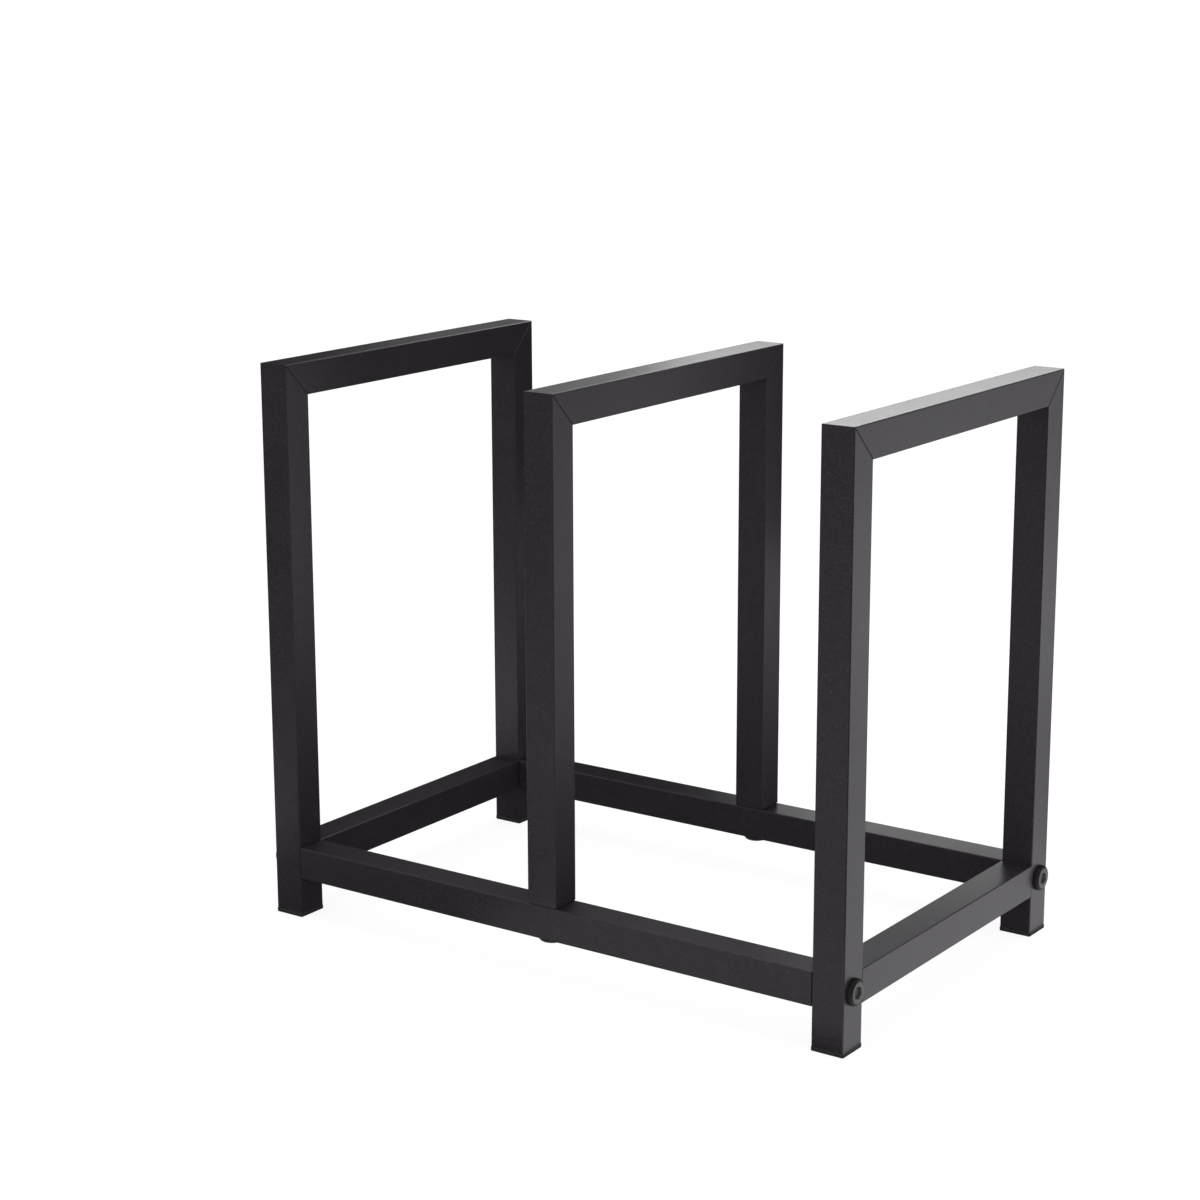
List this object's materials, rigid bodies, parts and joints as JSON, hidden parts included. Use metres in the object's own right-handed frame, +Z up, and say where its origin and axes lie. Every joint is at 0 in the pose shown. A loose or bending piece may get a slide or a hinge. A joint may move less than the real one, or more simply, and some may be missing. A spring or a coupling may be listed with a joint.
{
  "type": "record storage stand",
  "caption": "Open rack of black square steel tube that holds records on edge between its end frames, with a bolted divider frame in the middle.",
  "frame": {"origin": "on the floor, in the middle of the footprint over the screw heads and feet", "axes": "+X along the rails from the left end frame to the right one, +Y from the front to the rear, +Z up"},
  "size_m": [0.3098, 0.1844, 0.259],
  "materials": {
    "powder_coat": "satin, fine texture",
    "foot_plastic": "moulded, matt",
    "insert_steel": "turned, bare",
    "screw_black": "satin black"
  },
  "bodies": {
    "root": {"left_front_leg": "powder_coat", "left_rear_leg": "powder_coat", "left_top_bar": "powder_coat", "left_crossbar": "powder_coat", "right_front_leg": "powder_coat", "right_rear_leg": "powder_coat", "right_top_bar": "powder_coat", "right_crossbar": "powder_coat", "divider_front_leg": "powder_coat", "divider_rear_leg": "powder_coat", "divider_top_bar": "powder_coat", "front_rail": "powder_coat", "rear_rail": "powder_coat", "left_front_foot": "foot_plastic", "left_rear_foot": "foot_plastic", "right_front_foot": "foot_plastic", "right_rear_foot": "foot_plastic", "left_front_insert": "insert_steel", "left_rear_insert": "insert_steel", "right_front_insert": "insert_steel", "right_rear_insert": "insert_steel", "divider_front_insert": "insert_steel", "divider_rear_insert": "insert_steel", "left_front_screw": "screw_black", "left_rear_screw": "screw_black", "right_front_screw": "screw_black", "right_rear_screw": "screw_black", "divider_front_screw": "screw_black", "divider_rear_screw": "screw_black"}
  },
  "joints": []
}
